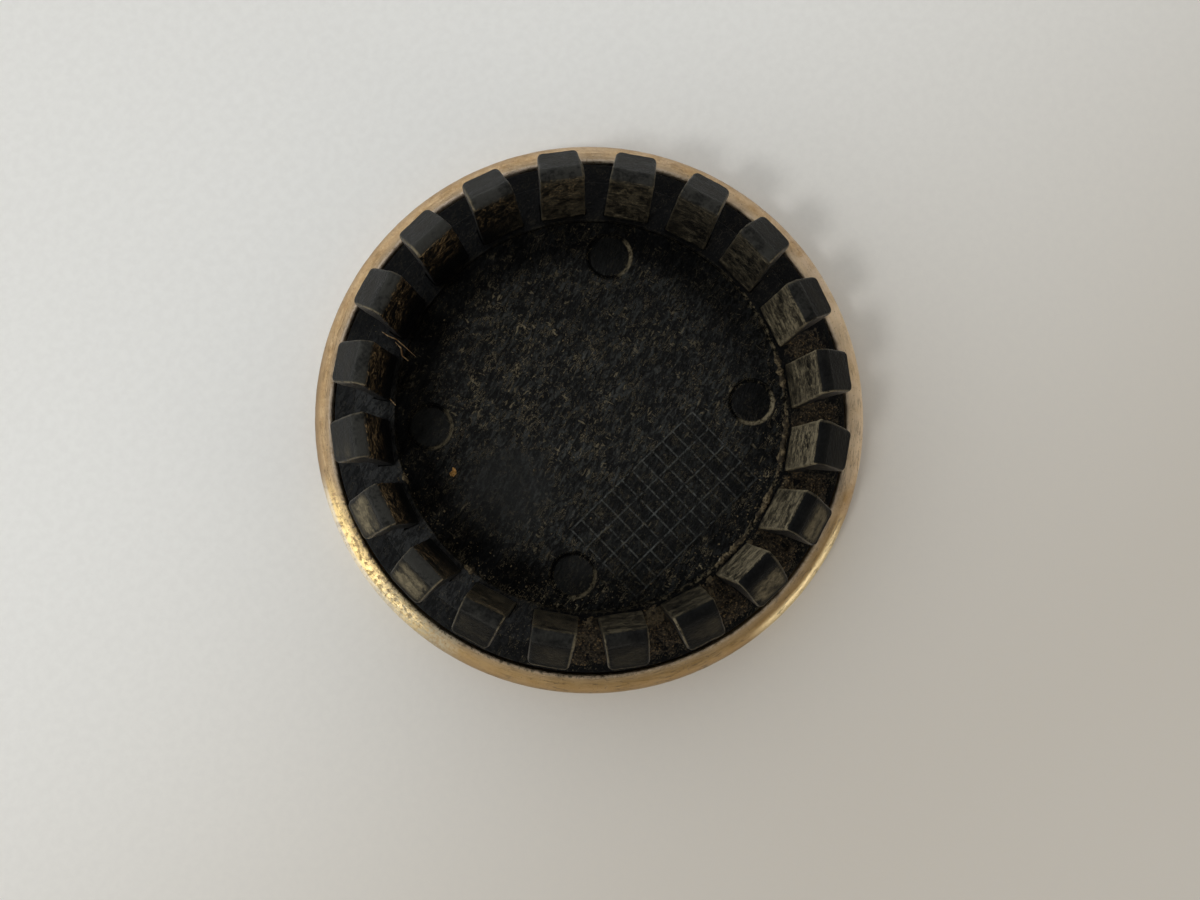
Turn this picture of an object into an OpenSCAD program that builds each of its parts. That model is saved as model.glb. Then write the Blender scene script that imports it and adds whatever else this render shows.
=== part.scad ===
// Wheel centre cap, lying on its front face with its snap fingers up.
// A shallow front cover holds a moulded clip body, whose ring of barbed fingers snaps into the hub hole of a wheel.
// The origin is the middle of the front face. +X runs through a finger, and the rows of the date grid run along it.

/* [Front cover] */
// Outside diameter of the cover, the widest size of the cap
cover_d = 68; // [66:0.5:74]
// Thickness of the cover's front plate
plate_t = 1.6; // [1.2:0.1:2.4]
// Height of the rim over the front plate
rim_rise = 3.9; // [3.2:0.1:5]
// Width of the rim, seen from behind
rim_w = 2.4; // [2:0.1:3]
// Radius that rounds the front face into the rim, which is widest at this height
front_round = 4; // [3:0.1:4.5]
// Distance from the rim's outside to the crest of its rounded back
crest_inset = 2; // [1.2:0.1:2]
// Radius on the rim's inner edge
rim_edge_r = 0.25; // [0.1:0.05:0.4]

/* [Clip body] */
// Gap between the clip body and the rim all round
seat_gap = 0.4; // [0.2:0.05:0.8]
// Height of the inner floor over the cover's plate
floor_rise = 5.4; // [4.6:0.1:7]
// Thickness of the inner floor
floor_t = 2.2; // [1.6:0.1:2.6]
// Thickness of the skirt that stands on the cover's plate
skirt_t = 2.2; // [1.4:0.1:2.4]
// Height of the ledge that the fingers stand on, over the inner floor
ledge_h = 0.2; // [0.1:0.05:0.5]
// Width of the ledge inside the ring of fingers
ledge_lip = 0.5; // [0.2:0.1:1]
// Distance from the barb tips in to the ledge's outer edge
ledge_inset = 0.4; // [0:0.1:1]
// Drop from the ledge to the flange outside it
ledge_drop = 0.9; // [0.5:0.1:1.2]
// Height of the flange's outer edge over the rim
flange_proud = 0.2; // [0:0.05:0.5]
// Radius on the edges of the ledge and the flange
flange_edge_r = 0.25; // [0.1:0.05:0.35]

/* [Snap fingers] */
// Number of snap fingers
finger_count = 20; // [14:1:23]
// Height of the fingers over the inner floor
finger_h = 13.8; // [11.5:0.1:16]
// Thickness of a finger's stem
finger_t = 1.8; // [1.4:0.1:2.4]
// Width of a finger at its root
finger_w = 5.4; // [4.4:0.1:6.2]
// Lean of a finger's sides towards its top, in degrees
finger_draft = 1.25; // [0.25:0.25:2]
// Lean of a finger's sides towards its barb, in degrees
finger_taper = 2.4; // [0.5:0.1:4]
// Diameter across the barb tips
barb_d = 57.6; // [55:0.2:60]
// Reach of a barb's tip past the back of its stem
barb_reach = 2.9; // [1.8:0.1:3.4]
// Width of the flat top, inside the lead-in slope
top_land = 1.2; // [0.8:0.1:1.8]
// Drop from a finger's top to the end of its lead-in slope
lead_drop = 4.3; // [3.4:0.1:5.5]
// Height of the barb's upright edge
barb_land = 0.7; // [0.5:0.1:1.2]
// Rise of the holding face under the barb, in degrees
hold_angle = 40; // [30:1:55]
// Radius on a finger's top edges
top_edge_r = 0.4; // [0.2:0.05:0.5]
// Radius on the edges of a barb
barb_edge_r = 0.25; // [0.1:0.05:0.3]
// Radius on a barb's two outer corners, seen from above
barb_corner_r = 0.8; // [0.4:0.1:1.2]
// Width of the slits beside a finger's root
slit_w = 0.35; // [0.2:0.05:0.4]
// Depth of the slits beside a finger's root
slit_d = 1.2; // [0.6:0.1:1.4]
// Reach of the slits past the back of the finger's stem
slit_reach = 0.3; // [0.1:0.1:0.8]

/* [Floor marks] */
// Diameter of the ejector pin marks
pin_mark_d = 5.5; // [4:0.1:7]
// Depth of the ejector pin marks
pin_mark_depth = 0.25; // [0.1:0.05:0.5]
// Distance from the ring of fingers in to the middle of the ejector pin marks
pin_mark_inset = 4.6; // [3.4:0.1:5.5]
// Angle from the X axis out to each ejector pin mark, in degrees
pin_mark_angle = 39.5; // [34:0.5:50]
// Number of columns in the date grid
grid_columns = 12; // [6:1:12]
// Number of rows in the date grid
grid_rows = 4; // [1:1:4]
// Width of a cell of the date grid, from line to line
cell_w = 1.7; // [1.4:0.05:1.8]
// Height of a cell of the date grid, from line to line
cell_h = 2.8; // [2:0.1:2.9]
// Width of the date grid's raised lines
grid_line_w = 0.25; // [0.15:0.05:0.4]
// Height of the date grid's raised lines
grid_line_h = 0.15; // [0.1:0.05:0.3]
// Middle of the date grid along X
grid_x = -1.2; // [-2:0.1:2]
// Distance from the ring of fingers in to the date grid's last line
grid_inset = 4.6; // [4.4:0.1:8]

/* [Hidden] */
$fn = 96;

arc_steps = 4; // steps in the small rounds
bead_steps = 16; // steps in the rim's rounds
sunk = 0.5; // how far a raised feature reaches into what carries it, so that the two are one solid
spare = 1; // how far a cut runs past the face that it opens

cover_r = cover_d / 2;
rim_in_r = cover_r - rim_w;
rim_z = plate_t + rim_rise;
crest_r = cover_r - crest_inset;

flange_r = rim_in_r - seat_gap;
floor_z = plate_t + floor_rise;
floor_under_z = floor_z - floor_t;
ledge_z = floor_z + ledge_h;
flange_z = rim_z + flange_proud;

barb_r = barb_d / 2;
stem_r = barb_r - barb_reach;
finger_in_r = stem_r - finger_t;
top_z = floor_z + finger_h;
lead_z = top_z - lead_drop;
hold_z = lead_z - barb_land;
hold_drop = barb_reach * tan(hold_angle);
ledge_r = barb_r - ledge_inset;
trim_size = 2 * finger_h + 2 * barb_r;

function unit(v) = v / norm(v);

// Points of an elliptical arc in the plane, from one angle to another
function arc_points(centre, rx, ry, from, to, steps) =
    [for (i = [0:steps])
        let (a = from + (to - from) * i / steps)
        centre + [rx * cos(a), ry * sin(a)]];

// Points that round corner b, between a and c, with radius r
function round_corner(a, b, c, r) =
    let (
        to_a = unit(a - b),
        to_c = unit(c - b),
        half = acos(to_a * to_c) / 2,
        centre = b + unit(to_a + to_c) * r / sin(half),
        start = b + to_a * r / tan(half) - centre,
        end = b + to_c * r / tan(half) - centre,
        from = atan2(start.y, start.x),
        turn = atan2(end.y, end.x) - from,
        short_turn = turn > 180 ? turn - 360 : turn < -180 ? turn + 360 : turn
    )
    arc_points(centre, r, r, from, from + short_turn, arc_steps);

// An outline whose corners, each given as [point, radius], are rounded where the radius isn't nought
function rounded(corners) =
    let (n = len(corners))
    [for (i = [0:n - 1])
        let (
            before = corners[(i + n - 1) % n][0],
            here = corners[i][0],
            after = corners[(i + 1) % n][0],
            r = corners[i][1]
        )
        each r > 0 ? round_corner(before, here, after, r) : [here]];

// The shallow dish that is seen on the wheel: a plate with a rounded front edge and a beaded rim
module front_cover() {
    outline = concat(
        [[0, 0]],
        arc_points([cover_r - front_round, front_round], front_round, front_round, -90, 0, bead_steps),
        arc_points([crest_r, front_round], crest_inset, rim_z - front_round, 0, 90, bead_steps),
        arc_points([rim_in_r + rim_edge_r, rim_z - rim_edge_r], rim_edge_r, rim_edge_r, 90, 180, arc_steps),
        [[rim_in_r, plate_t], [0, plate_t]]
    );
    color("#a98a5c") rotate_extrude() polygon(outline);
}

// The floor, the ledge and the flange in one turned shell, open underneath
module clip_base() {
    rotate_extrude()
        polygon(rounded([
            [[0, floor_under_z], 0],
            [[flange_r - skirt_t, floor_under_z], flange_edge_r],
            [[flange_r - skirt_t, plate_t], 0],
            [[flange_r, plate_t], 0],
            [[flange_r, flange_z], flange_edge_r],
            [[ledge_r, ledge_z - ledge_drop], 0],
            [[ledge_r, ledge_z], flange_edge_r],
            [[finger_in_r - ledge_lip, ledge_z], 0],
            [[finger_in_r - ledge_lip, floor_z], 0],
            [[0, floor_z], 0]
        ]));
}

// The section of a finger turned all the way round: stem, flat top, lead-in slope, barb and holding face
module finger_ring() {
    rotate_extrude()
        polygon(rounded([
            [[finger_in_r, ledge_z - sunk], 0],
            [[stem_r, ledge_z - sunk], 0],
            [[stem_r, hold_z - hold_drop], top_edge_r],
            [[barb_r, hold_z], barb_edge_r],
            [[barb_r, lead_z], barb_edge_r],
            [[finger_in_r + top_land, top_z], top_edge_r],
            [[finger_in_r, top_z], top_edge_r]
        ]));
}

// Puts a child where one side of the finger on +X meets the ledge, leaning as that side leans
module at_finger_side() {
    translate([finger_in_r, finger_w / 2, ledge_z])
        rotate([finger_draft, 0, -finger_taper])
            children();
}

// All the space between the leaning sides of one finger, with the barb's corners rounded
module finger_block() {
    tip_w = finger_w - 2 * (lead_z - ledge_z) * tan(finger_draft) - 2 * (barb_r - finger_in_r) * tan(finger_taper);
    intersection() {
        for_both_sides() at_finger_side()
            translate([-trim_size / 2, -trim_size, -trim_size / 2]) cube(trim_size);
        translate([0, 0, ledge_z - sunk - spare])
            linear_extrude(finger_h + sunk + 2 * spare)
                polygon(rounded([
                    [[barb_r, -tip_w / 2], barb_corner_r],
                    [[barb_r, tip_w / 2], barb_corner_r],
                    [[barb_r - 2 * barb_corner_r, tip_w / 2], 0],
                    [[stem_r, finger_w / 2 + sunk], 0],
                    [[finger_in_r - spare, finger_w / 2 + sunk], 0],
                    [[finger_in_r - spare, -finger_w / 2 - sunk], 0],
                    [[stem_r, -finger_w / 2 - sunk], 0],
                    [[barb_r - 2 * barb_corner_r, -tip_w / 2], 0]
                ]));
    }
}

// What the child made for a finger's left side shares with its mirror image
module for_both_sides() {
    intersection() {
        children();
        mirror([0, 1, 0]) children();
    }
}

// Repeats a child at each finger's place
module at_each_finger() {
    for (i = [0:finger_count - 1])
        rotate(i * 360 / finger_count) children();
}

// The narrow slits on both sides of a finger's root
module finger_slits() {
    for (side = [0, 1])
        mirror([0, side, 0]) at_finger_side()
            translate([0, 0, -slit_d])
                cube([finger_t + slit_reach, slit_w, slit_d + spare]);
}

// The four round marks that the ejector pins leave in the floor
module pin_marks() {
    for (a = [pin_mark_angle, 180 - pin_mark_angle, 180 + pin_mark_angle, -pin_mark_angle])
        rotate(a)
            translate([finger_in_r - pin_mark_inset, 0, floor_z - pin_mark_depth])
                cylinder(d = pin_mark_d, h = pin_mark_depth + spare);
}

// The bare date grid, raised on the floor
module date_grid() {
    grid_w = grid_columns * cell_w;
    grid_d = grid_rows * cell_h;
    translate([grid_x - grid_w / 2, grid_inset - finger_in_r, floor_z - sunk])
        linear_extrude(sunk + grid_line_h)
            difference() {
                translate([-grid_line_w / 2, -grid_line_w / 2])
                    square([grid_w + grid_line_w, grid_d + grid_line_w]);
                for (i = [0:grid_columns - 1], j = [0:grid_rows - 1])
                    translate([i * cell_w + grid_line_w / 2, j * cell_h + grid_line_w / 2])
                        square([cell_w - grid_line_w, cell_h - grid_line_w]);
            }
}

// The black moulding: base, fingers and floor marks in one piece
module clip_body() {
    color("#1d1e20") {
        difference() {
            clip_base();
            at_each_finger() finger_slits();
            pin_marks();
        }
        intersection() {
            finger_ring();
            at_each_finger() finger_block();
        }
        date_grid();
    }
}

front_cover();
clip_body();
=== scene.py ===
import math
import random

import bpy
from mathutils import Matrix, Vector, noise


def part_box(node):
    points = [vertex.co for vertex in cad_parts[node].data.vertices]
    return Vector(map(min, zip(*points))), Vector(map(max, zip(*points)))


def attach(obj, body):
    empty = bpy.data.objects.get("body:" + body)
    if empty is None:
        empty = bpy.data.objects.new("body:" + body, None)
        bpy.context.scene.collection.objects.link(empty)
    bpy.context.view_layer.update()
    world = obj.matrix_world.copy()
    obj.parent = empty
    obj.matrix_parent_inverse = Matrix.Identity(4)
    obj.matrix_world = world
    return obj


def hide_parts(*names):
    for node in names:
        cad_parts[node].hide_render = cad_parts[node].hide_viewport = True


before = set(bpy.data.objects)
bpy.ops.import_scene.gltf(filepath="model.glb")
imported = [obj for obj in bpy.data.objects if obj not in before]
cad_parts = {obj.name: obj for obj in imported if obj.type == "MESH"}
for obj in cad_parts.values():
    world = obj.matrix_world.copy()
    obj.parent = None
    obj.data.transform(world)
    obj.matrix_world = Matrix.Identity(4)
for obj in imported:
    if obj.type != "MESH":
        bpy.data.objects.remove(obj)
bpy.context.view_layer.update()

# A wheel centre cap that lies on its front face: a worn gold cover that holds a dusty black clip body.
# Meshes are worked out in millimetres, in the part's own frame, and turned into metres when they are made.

MM = 0.001
SHARP_ANGLE = 38

# Sizes read from the frame
COVER_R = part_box("front_cover")[1].x / MM
RIM_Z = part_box("front_cover")[1].z / MM
PLATE_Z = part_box("clip_body")[0].z / MM
FLANGE_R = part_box("clip_body")[1].x / MM
TOP_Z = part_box("clip_body")[1].z / MM

# Front cover
FRONT_ROUND = 4.0
BACK_ROUND = 2.0
CREST_R = COVER_R - BACK_ROUND
RIM_IN_R = COVER_R - 2.4
RIM_EDGE_R = 0.25
LIP_WEAR_W = 0.55
LIP_WEAR_H = 1.6
COVER_SEGMENTS = 720

# Clip body
BASE_SEGMENTS = 400
BASE_STEP = 1.6
SKIRT_T = 2.2
FLOOR_Z = TOP_Z - 13.8
FLOOR_T = 2.2
LEDGE_Z = FLOOR_Z + 0.2
LEDGE_IN_R = 23.6
LEDGE_R = 28.4
LEDGE_DROP = 0.9
FLANGE_Z = RIM_Z + 0.2
FLANGE_EDGE_R = 0.25
LEDGE_EDGE_R = 0.08

# Snap fingers
FINGER_COUNT = 20
FINGER_STEP = 2 * math.pi / FINGER_COUNT
FINGER_IN_R = 24.1
STEM_R = 25.9
BARB_R = 28.8
FINGER_HALF_W = 2.7
SIDE_DRAFT = math.tan(math.radians(1.25))
SIDE_TAPER = math.tan(math.radians(2.4))
LEAD_Z = TOP_Z - 4.3
HOLD_Z = LEAD_Z - 0.7
HOLD_DROP = (BARB_R - STEM_R) * math.tan(math.radians(40))
TOP_LAND = 1.2
TOP_EDGE_R = 0.38
LAND_EDGE_R = 0.9
BARB_EDGE_R = 0.3
SIDE_EDGE_R = 0.2
ROOT_D = 1.4
LEVEL_STEP = 0.5
# How far a finger's top may lean outward and sideways, and how much it may be short
LEAN_OUT = 0.18
LEAN_SIDE = 0.14
SHORT_BY = 0.12
SLIT_W = 0.12
SLIT_D = 0.6
SLIT_REACH = 0.3
POCKET_W = 0.75
POCKET_REACH = 1.1
POCKET_FINGERS = (13, 14, 15, 16)

# Floor marks
MARK_R = 2.75
MARK_DEPTH = 0.25
MARK_PLACE_R = 19.5
MARK_ANGLES = [39.5, 140.5, 219.5, 320.5]
MARK_PLACES = [(MARK_PLACE_R * math.cos(math.radians(a)), MARK_PLACE_R * math.sin(math.radians(a)))
               for a in MARK_ANGLES]
GRID_X = (-11.4, 9.0)
GRID_Y = (-19.5, -8.3)
GRID_COLUMNS = 12
GRID_ROWS = 4
GRID_LINE_W = 0.25
GRID_LINE_H = 0.15
GRID_SUNK = 0.4
GATE_X, GATE_Y = -5.3, 8.5

# Seeds of the random draws
FINGER_SEED = 11
CRUMB_SEED = 23
CHIP_SEED = 5

# The photograph is turned this far about the cap's axis from the part's own frame
PHOTO_TURN = math.radians(-44.1)


def to_part(x, y, z):
    """A point or direction given by the photograph's right and up, in the part's frame."""
    return Matrix.Rotation(PHOTO_TURN, 3, "Z") @ Vector((x, y, z))


def clamped(value):
    return max(0, min(1, value))


# Outlines

def arc(centre, rx, ry, start, end, steps):
    """Points along an elliptical arc, angles in degrees."""
    angles = [math.radians(start + (end - start) * i / steps) for i in range(steps + 1)]
    return [Vector((centre[0] + rx * math.cos(a), centre[1] + ry * math.sin(a))) for a in angles]


def rounded(corners, steps):
    """An outline whose corners, given as (point, radius), are rounded where the radius isn't nought."""
    outline = []
    for i, (here, radius) in enumerate(corners):
        here = Vector(here)
        if not radius:
            outline.append(here)
            continue
        before = (Vector(corners[i - 1][0]) - here).normalized()
        after = (Vector(corners[(i + 1) % len(corners)][0]) - here).normalized()
        half = before.angle(after) / 2
        centre = here + (before + after).normalized() * radius / math.sin(half)
        first = here + before * radius / math.tan(half) - centre
        last = here + after * radius / math.tan(half) - centre
        turn = first.angle_signed(last)
        outline += [centre + Matrix.Rotation(-turn * k / steps, 2) @ first for k in range(steps + 1)]
    return outline


def divided(outline, longest):
    """The outline with its long straight stretches cut into equal steps."""
    points = []
    for a, b in zip(outline, outline[1:]):
        pieces = max(1, math.ceil((b - a).length / longest))
        points += [a.lerp(b, k / pieces) for k in range(pieces)]
    return points + [outline[-1]]


# Meshes

class Shell:
    """Points and faces of one or more closed surfaces, in millimetres."""

    def __init__(self):
        self.points = []
        self.faces = []

    def ring(self, points):
        start = len(self.points)
        self.points += points
        return list(range(start, len(self.points)))

    def join(self, lower, upper):
        """Quads between two rings of the same length."""
        for i in range(len(lower)):
            k = (i + 1) % len(lower)
            self.faces.append((lower[i], lower[k], upper[k], upper[i]))

    def fan(self, ring, point, flip=False):
        """Triangles from a ring to a point inside it."""
        centre = self.ring([point])[0]
        for i in range(len(ring)):
            pair = (ring[i], ring[(i + 1) % len(ring)])
            self.faces.append((pair[1], pair[0], centre) if flip else (*pair, centre))

    def slab(self, upper, lower, flip=False):
        """Closes the space between two sheets, each given as rows of the same length."""
        faces = []
        columns = range(len(upper[0]) - 1)
        for a, b, c, d in zip(upper, upper[1:], lower, lower[1:]):
            for i in columns:
                faces.append((a[i], a[i + 1], b[i + 1], b[i]))
                faces.append((c[i], d[i], d[i + 1], c[i + 1]))
            faces.append((a[0], b[0], d[0], c[0]))
            faces.append((a[-1], c[-1], d[-1], b[-1]))
        for i in columns:
            faces.append((upper[0][i], lower[0][i], lower[0][i + 1], upper[0][i + 1]))
            faces.append((upper[-1][i], upper[-1][i + 1], lower[-1][i + 1], lower[-1][i]))
        self.faces += [(face[0], *reversed(face[1:])) for face in faces] if flip else faces

    def moved(self, change):
        self.points = [change(p) for p in self.points]
        return self

    def add(self, other):
        start = len(self.points)
        self.points += other.points
        self.faces += [tuple(start + i for i in face) for face in other.faces]

    def made(self, name, sharp=SHARP_ANGLE):
        mesh = bpy.data.meshes.new(name)
        mesh.from_pydata([tuple(p * MM) for p in self.points], [], self.faces)
        mesh.validate()
        smooth(mesh, sharp)
        return placed(name, mesh)


def placed(name, data):
    """A new object in the scene."""
    piece = bpy.data.objects.new(name, data)
    bpy.context.scene.collection.objects.link(piece)
    return piece


def smooth(mesh, sharp):
    mesh.polygons.foreach_set("use_smooth", [True] * len(mesh.polygons))
    mesh.set_sharp_from_angle(angle=math.radians(sharp))
    mesh.update()


def turned(outline, segments, change=None):
    """A closed surface turned about the Z axis. The outline runs anticlockwise from the axis to the axis."""
    shell = Shell()
    rings = []
    for p in outline[1:-1]:
        rings.append(shell.ring([
            Vector((p.x * math.cos(a), p.x * math.sin(a), p.y))
            for a in (2 * math.pi * i / segments for i in range(segments))
        ]))
    for lower, upper in zip(rings, rings[1:]):
        shell.join(lower, upper)
    shell.fan(rings[0], Vector((0, 0, outline[0].y)), flip=True)
    shell.fan(rings[-1], Vector((0, 0, outline[-1].y)))
    return shell.moved(change) if change else shell


def combined(piece, other, operation):
    """Cuts or adds another closed piece, and removes that other piece."""
    modifier = piece.modifiers.new("combine", "BOOLEAN")
    modifier.operation = operation
    modifier.solver = "MANIFOLD"
    modifier.object = other
    made = bpy.data.meshes.new_from_object(piece.evaluated_get(bpy.context.evaluated_depsgraph_get()))
    piece.modifiers.remove(modifier)
    old, piece.data = piece.data, made
    made.name = piece.name
    bpy.data.meshes.remove(old)
    bpy.data.meshes.remove(other.data)


def even_shading(piece):
    """Lets large faces rule the shading, so that small rounds don't darken the flats beside them."""
    modifier = piece.modifiers.new("even_shading", "WEIGHTED_NORMAL")
    modifier.keep_sharp = True
    modifier.weight = 60
    return piece


# Front cover

def rough_lip(p):
    """Small dents and chips along the rim's inner lip and faint dents on its crest."""
    r = math.hypot(p.x, p.y)
    near_lip = max(0, 1 - abs(r - RIM_IN_R) / LIP_WEAR_W) * clamped(p.z - RIM_Z + LIP_WEAR_H)
    if r < RIM_IN_R - 0.01 and p.z < PLATE_Z + 0.01:
        return p
    along = Vector((p.x, p.y, 0)) / r
    chips = max(0, noise.noise(Vector((p.x * 1.6, p.y * 1.6, 3))) - 0.1)
    grain = noise.noise(Vector((p.x * 4, p.y * 4, p.z * 2)))
    wave = noise.noise(Vector((p.x * 0.5, p.y * 0.5, 9)))
    outward = near_lip * (0.16 * chips + 0.025 * grain + 0.03 * wave)
    down = near_lip * (0.22 * chips + 0.02 * abs(grain))
    on_back = clamped((p.z - 3.4) / 1.2)
    sink = on_back * 0.02 * (1 + noise.noise(p * 0.9))
    return p + along * (outward - sink) - Vector((0, 0, down + sink * 0.5))


def make_front_cover():
    outline = (
        [Vector((x, 0)) for x in (0, 10, 20, 28)]
        + arc((COVER_R - FRONT_ROUND, FRONT_ROUND), FRONT_ROUND, FRONT_ROUND, -90, 0, 18)
        + arc((CREST_R, FRONT_ROUND), BACK_ROUND, RIM_Z - FRONT_ROUND, 0, 90, 22)[1:]
        + arc((RIM_IN_R + RIM_EDGE_R, RIM_Z - RIM_EDGE_R), RIM_EDGE_R, RIM_EDGE_R, 90, 180, 6)
        + [Vector((RIM_IN_R, PLATE_Z + z)) for z in (3.2, 2.6, 1.8, 0.9, 0)]
        + [Vector((x, PLATE_Z)) for x in (28, 14, 0)]
    )
    cover = turned(outline, COVER_SEGMENTS, rough_lip).made("gold_cover")
    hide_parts("front_cover")
    return even_shading(cover)


# Clip body

def base_surface(r):
    """Height of the clip body's upper side where no finger stands."""
    if r < LEDGE_IN_R:
        return FLOOR_Z
    if r < LEDGE_R:
        return LEDGE_Z
    low = LEDGE_Z - LEDGE_DROP
    return low + (FLANGE_Z - low) * (r - LEDGE_R) / (FLANGE_R - LEDGE_R)


def base_wear(p):
    """A moulded shell is never quite flat: a slow wave, strongest on the flange."""
    r = math.hypot(p.x, p.y)
    if p.z < FLANGE_Z - 0.6:
        return p
    depth = 0.03 if r > LEDGE_IN_R + 0.1 else 0.02
    return p - Vector((0, 0, depth * (0.8 + noise.noise(p * 0.35))))


def make_base():
    floor_under = FLOOR_Z - FLOOR_T
    skirt_r = FLANGE_R - SKIRT_T
    outline = rounded([
        ((0, floor_under), 0),
        ((skirt_r, floor_under), FLANGE_EDGE_R),
        ((skirt_r, PLATE_Z), 0),
        ((FLANGE_R, PLATE_Z), 0),
        ((FLANGE_R, FLANGE_Z), FLANGE_EDGE_R),
        ((LEDGE_R, LEDGE_Z - LEDGE_DROP), 0),
        ((LEDGE_R, LEDGE_Z), LEDGE_EDGE_R),
        ((LEDGE_IN_R, LEDGE_Z), LEDGE_EDGE_R),
        ((LEDGE_IN_R, FLOOR_Z), 0),
        ((0, FLOOR_Z), 0),
    ], 4)
    return turned(divided(outline, BASE_STEP), BASE_SEGMENTS, base_wear).made("clip_body_moulding")


def finger_levels():
    """Height and outer radius of each slice of a finger, from its root to its top."""
    outline = rounded([
        ((FINGER_IN_R, LEDGE_Z - ROOT_D), 0),
        ((STEM_R, LEDGE_Z - ROOT_D), 0),
        ((STEM_R, HOLD_Z - HOLD_DROP), TOP_EDGE_R),
        ((BARB_R, HOLD_Z), BARB_EDGE_R),
        ((BARB_R, LEAD_Z), BARB_EDGE_R),
        ((FINGER_IN_R + TOP_LAND, TOP_Z), LAND_EDGE_R),
        ((FINGER_IN_R, TOP_Z), 0),
    ], 6)
    return [(p.y, p.x) for p in divided(outline[1:-1], LEVEL_STEP)]


def finger_slice(z, outer_r):
    """One level of a finger: a trapezoid with rounded corners, as (radius, sideways) points."""
    over = max(0, z - (TOP_Z - TOP_EDGE_R))
    drawn_in = TOP_EDGE_R - math.sqrt(max(0, TOP_EDGE_R ** 2 - over ** 2))
    inner_r = FINGER_IN_R + drawn_in
    lean = (z - LEDGE_Z) * SIDE_DRAFT + drawn_in
    inner_w = FINGER_HALF_W - lean
    outer_w = inner_w - (outer_r - FINGER_IN_R) * SIDE_TAPER
    outer_corner = 0.25 + 0.4 * clamped((outer_r - STEM_R) / (BARB_R - STEM_R))
    steps = 4
    outline = rounded([
        ((inner_r, -inner_w), SIDE_EDGE_R),
        ((outer_r, -outer_w), outer_corner),
        ((outer_r, outer_w), outer_corner),
        ((inner_r, inner_w), SIDE_EDGE_R),
    ], steps)
    # Each corner is followed by a straight side, which is cut into the number of pieces given here
    points = []
    for i, pieces in enumerate([6, 8, 6, 9]):
        end = (i + 1) * (steps + 1)
        points += outline[end - steps - 1:end]
        a, b = points[-1], outline[end % len(outline)]
        points += [a.lerp(b, k / pieces) for k in range(1, pieces)]
    return points


def make_fingers():
    dice = random.Random(FINGER_SEED)
    levels = finger_levels()
    slices = [finger_slice(z, r) for z, r in levels]
    fingers = Shell()
    for index in range(FINGER_COUNT):
        lean_out = dice.uniform(-LEAN_OUT, LEAN_OUT)
        lean_side = dice.uniform(-LEAN_SIDE, LEAN_SIDE)
        short = dice.uniform(0, SHORT_BY)
        shell = Shell()
        rings = []
        for (z, _), points in zip(levels, slices):
            up = max(0, z - LEDGE_Z) / (TOP_Z - LEDGE_Z)
            rings.append(shell.ring([
                Vector((p.x + lean_out * up * up, p.y + lean_side * up * up, z - short * up)) for p in points
            ]))
        for lower, upper in zip(rings, rings[1:]):
            shell.join(lower, upper)
        top = [shell.points[i] for i in rings[-1]]
        middle = sum(top, Vector()) / len(top)
        inset = shell.ring([middle.lerp(p, 0.55) for p in top])
        shell.join(rings[-1], inset)
        shell.fan(inset, middle)
        root = [shell.points[i] for i in rings[0]]
        shell.fan(rings[0], sum(root, Vector()) / len(root), flip=True)
        turn = Matrix.Rotation(index * FINGER_STEP, 3, "Z")

        def worn(p, turn=turn):
            q = turn @ p
            size = clamped(p.z - LEDGE_Z)
            push = Vector([noise.noise(q * 0.5 + Vector((k * 31, 0, 0))) for k in range(3)]) * 0.05
            push += Vector([noise.noise(q * 1.9 + Vector((k * 17, 5, 0))) for k in range(3)]) * 0.022
            q = q + push * size
            q.z = min(q.z, TOP_Z)
            return q

        fingers.add(shell.moved(worn))
    return fingers.made("fingers")


def box_shell(low, high):
    x, y, z = zip(low, high)
    shell = Shell()
    lower, upper = (
        shell.ring([Vector((x[i], y[j], level)) for i, j in ((0, 0), (1, 0), (1, 1), (0, 1))]) for level in z
    )
    shell.join(lower, upper)
    shell.faces += [tuple(reversed(lower)), tuple(upper)]
    return shell


def make_slit_cutters():
    """Narrow slits on both sides of each finger's root."""
    cutters = Shell()
    draft = Matrix.Rotation(math.atan(SIDE_DRAFT), 3, "X")
    taper = Matrix.Rotation(-math.atan(SIDE_TAPER), 3, "Z")
    corner = Vector((FINGER_IN_R, FINGER_HALF_W, LEDGE_Z))
    for index in range(FINGER_COUNT):
        turn = Matrix.Rotation(index * FINGER_STEP, 3, "Z")
        for side in (1, -1):
            pocket = side < 0 and index in POCKET_FINGERS
            reach = POCKET_REACH if pocket else STEM_R - FINGER_IN_R + SLIT_REACH
            slit = box_shell((0.1, -0.08, -SLIT_D), (reach, POCKET_W if pocket else SLIT_W, 1))
            flip = Matrix.Diagonal((1, side, 1))
            slit.moved(lambda p: turn @ flip @ (corner + taper @ draft @ p))
            if side < 0:
                slit.faces = [tuple(reversed(face)) for face in slit.faces]
            cutters.add(slit)
    return cutters.made("slits")


def make_mark_cutters():
    """Round ejector pin marks with a soft upper edge."""
    outline = [Vector(p) for p in (
        (0, -MARK_DEPTH), (1.2, -MARK_DEPTH), (MARK_R - 0.12, -MARK_DEPTH),
        (MARK_R - 0.03, -MARK_DEPTH + 0.04), (MARK_R, -0.12), (MARK_R + 0.05, -0.04),
        (MARK_R + 0.2, 0.06), (MARK_R + 0.2, 0.6), (0, 0.6),
    )]
    cutters = Shell()
    for place in MARK_PLACES:
        cutters.add(turned(outline, 72, lambda p: p + Vector((*place, FLOOR_Z))))
    return cutters.made("pin_marks")


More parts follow.
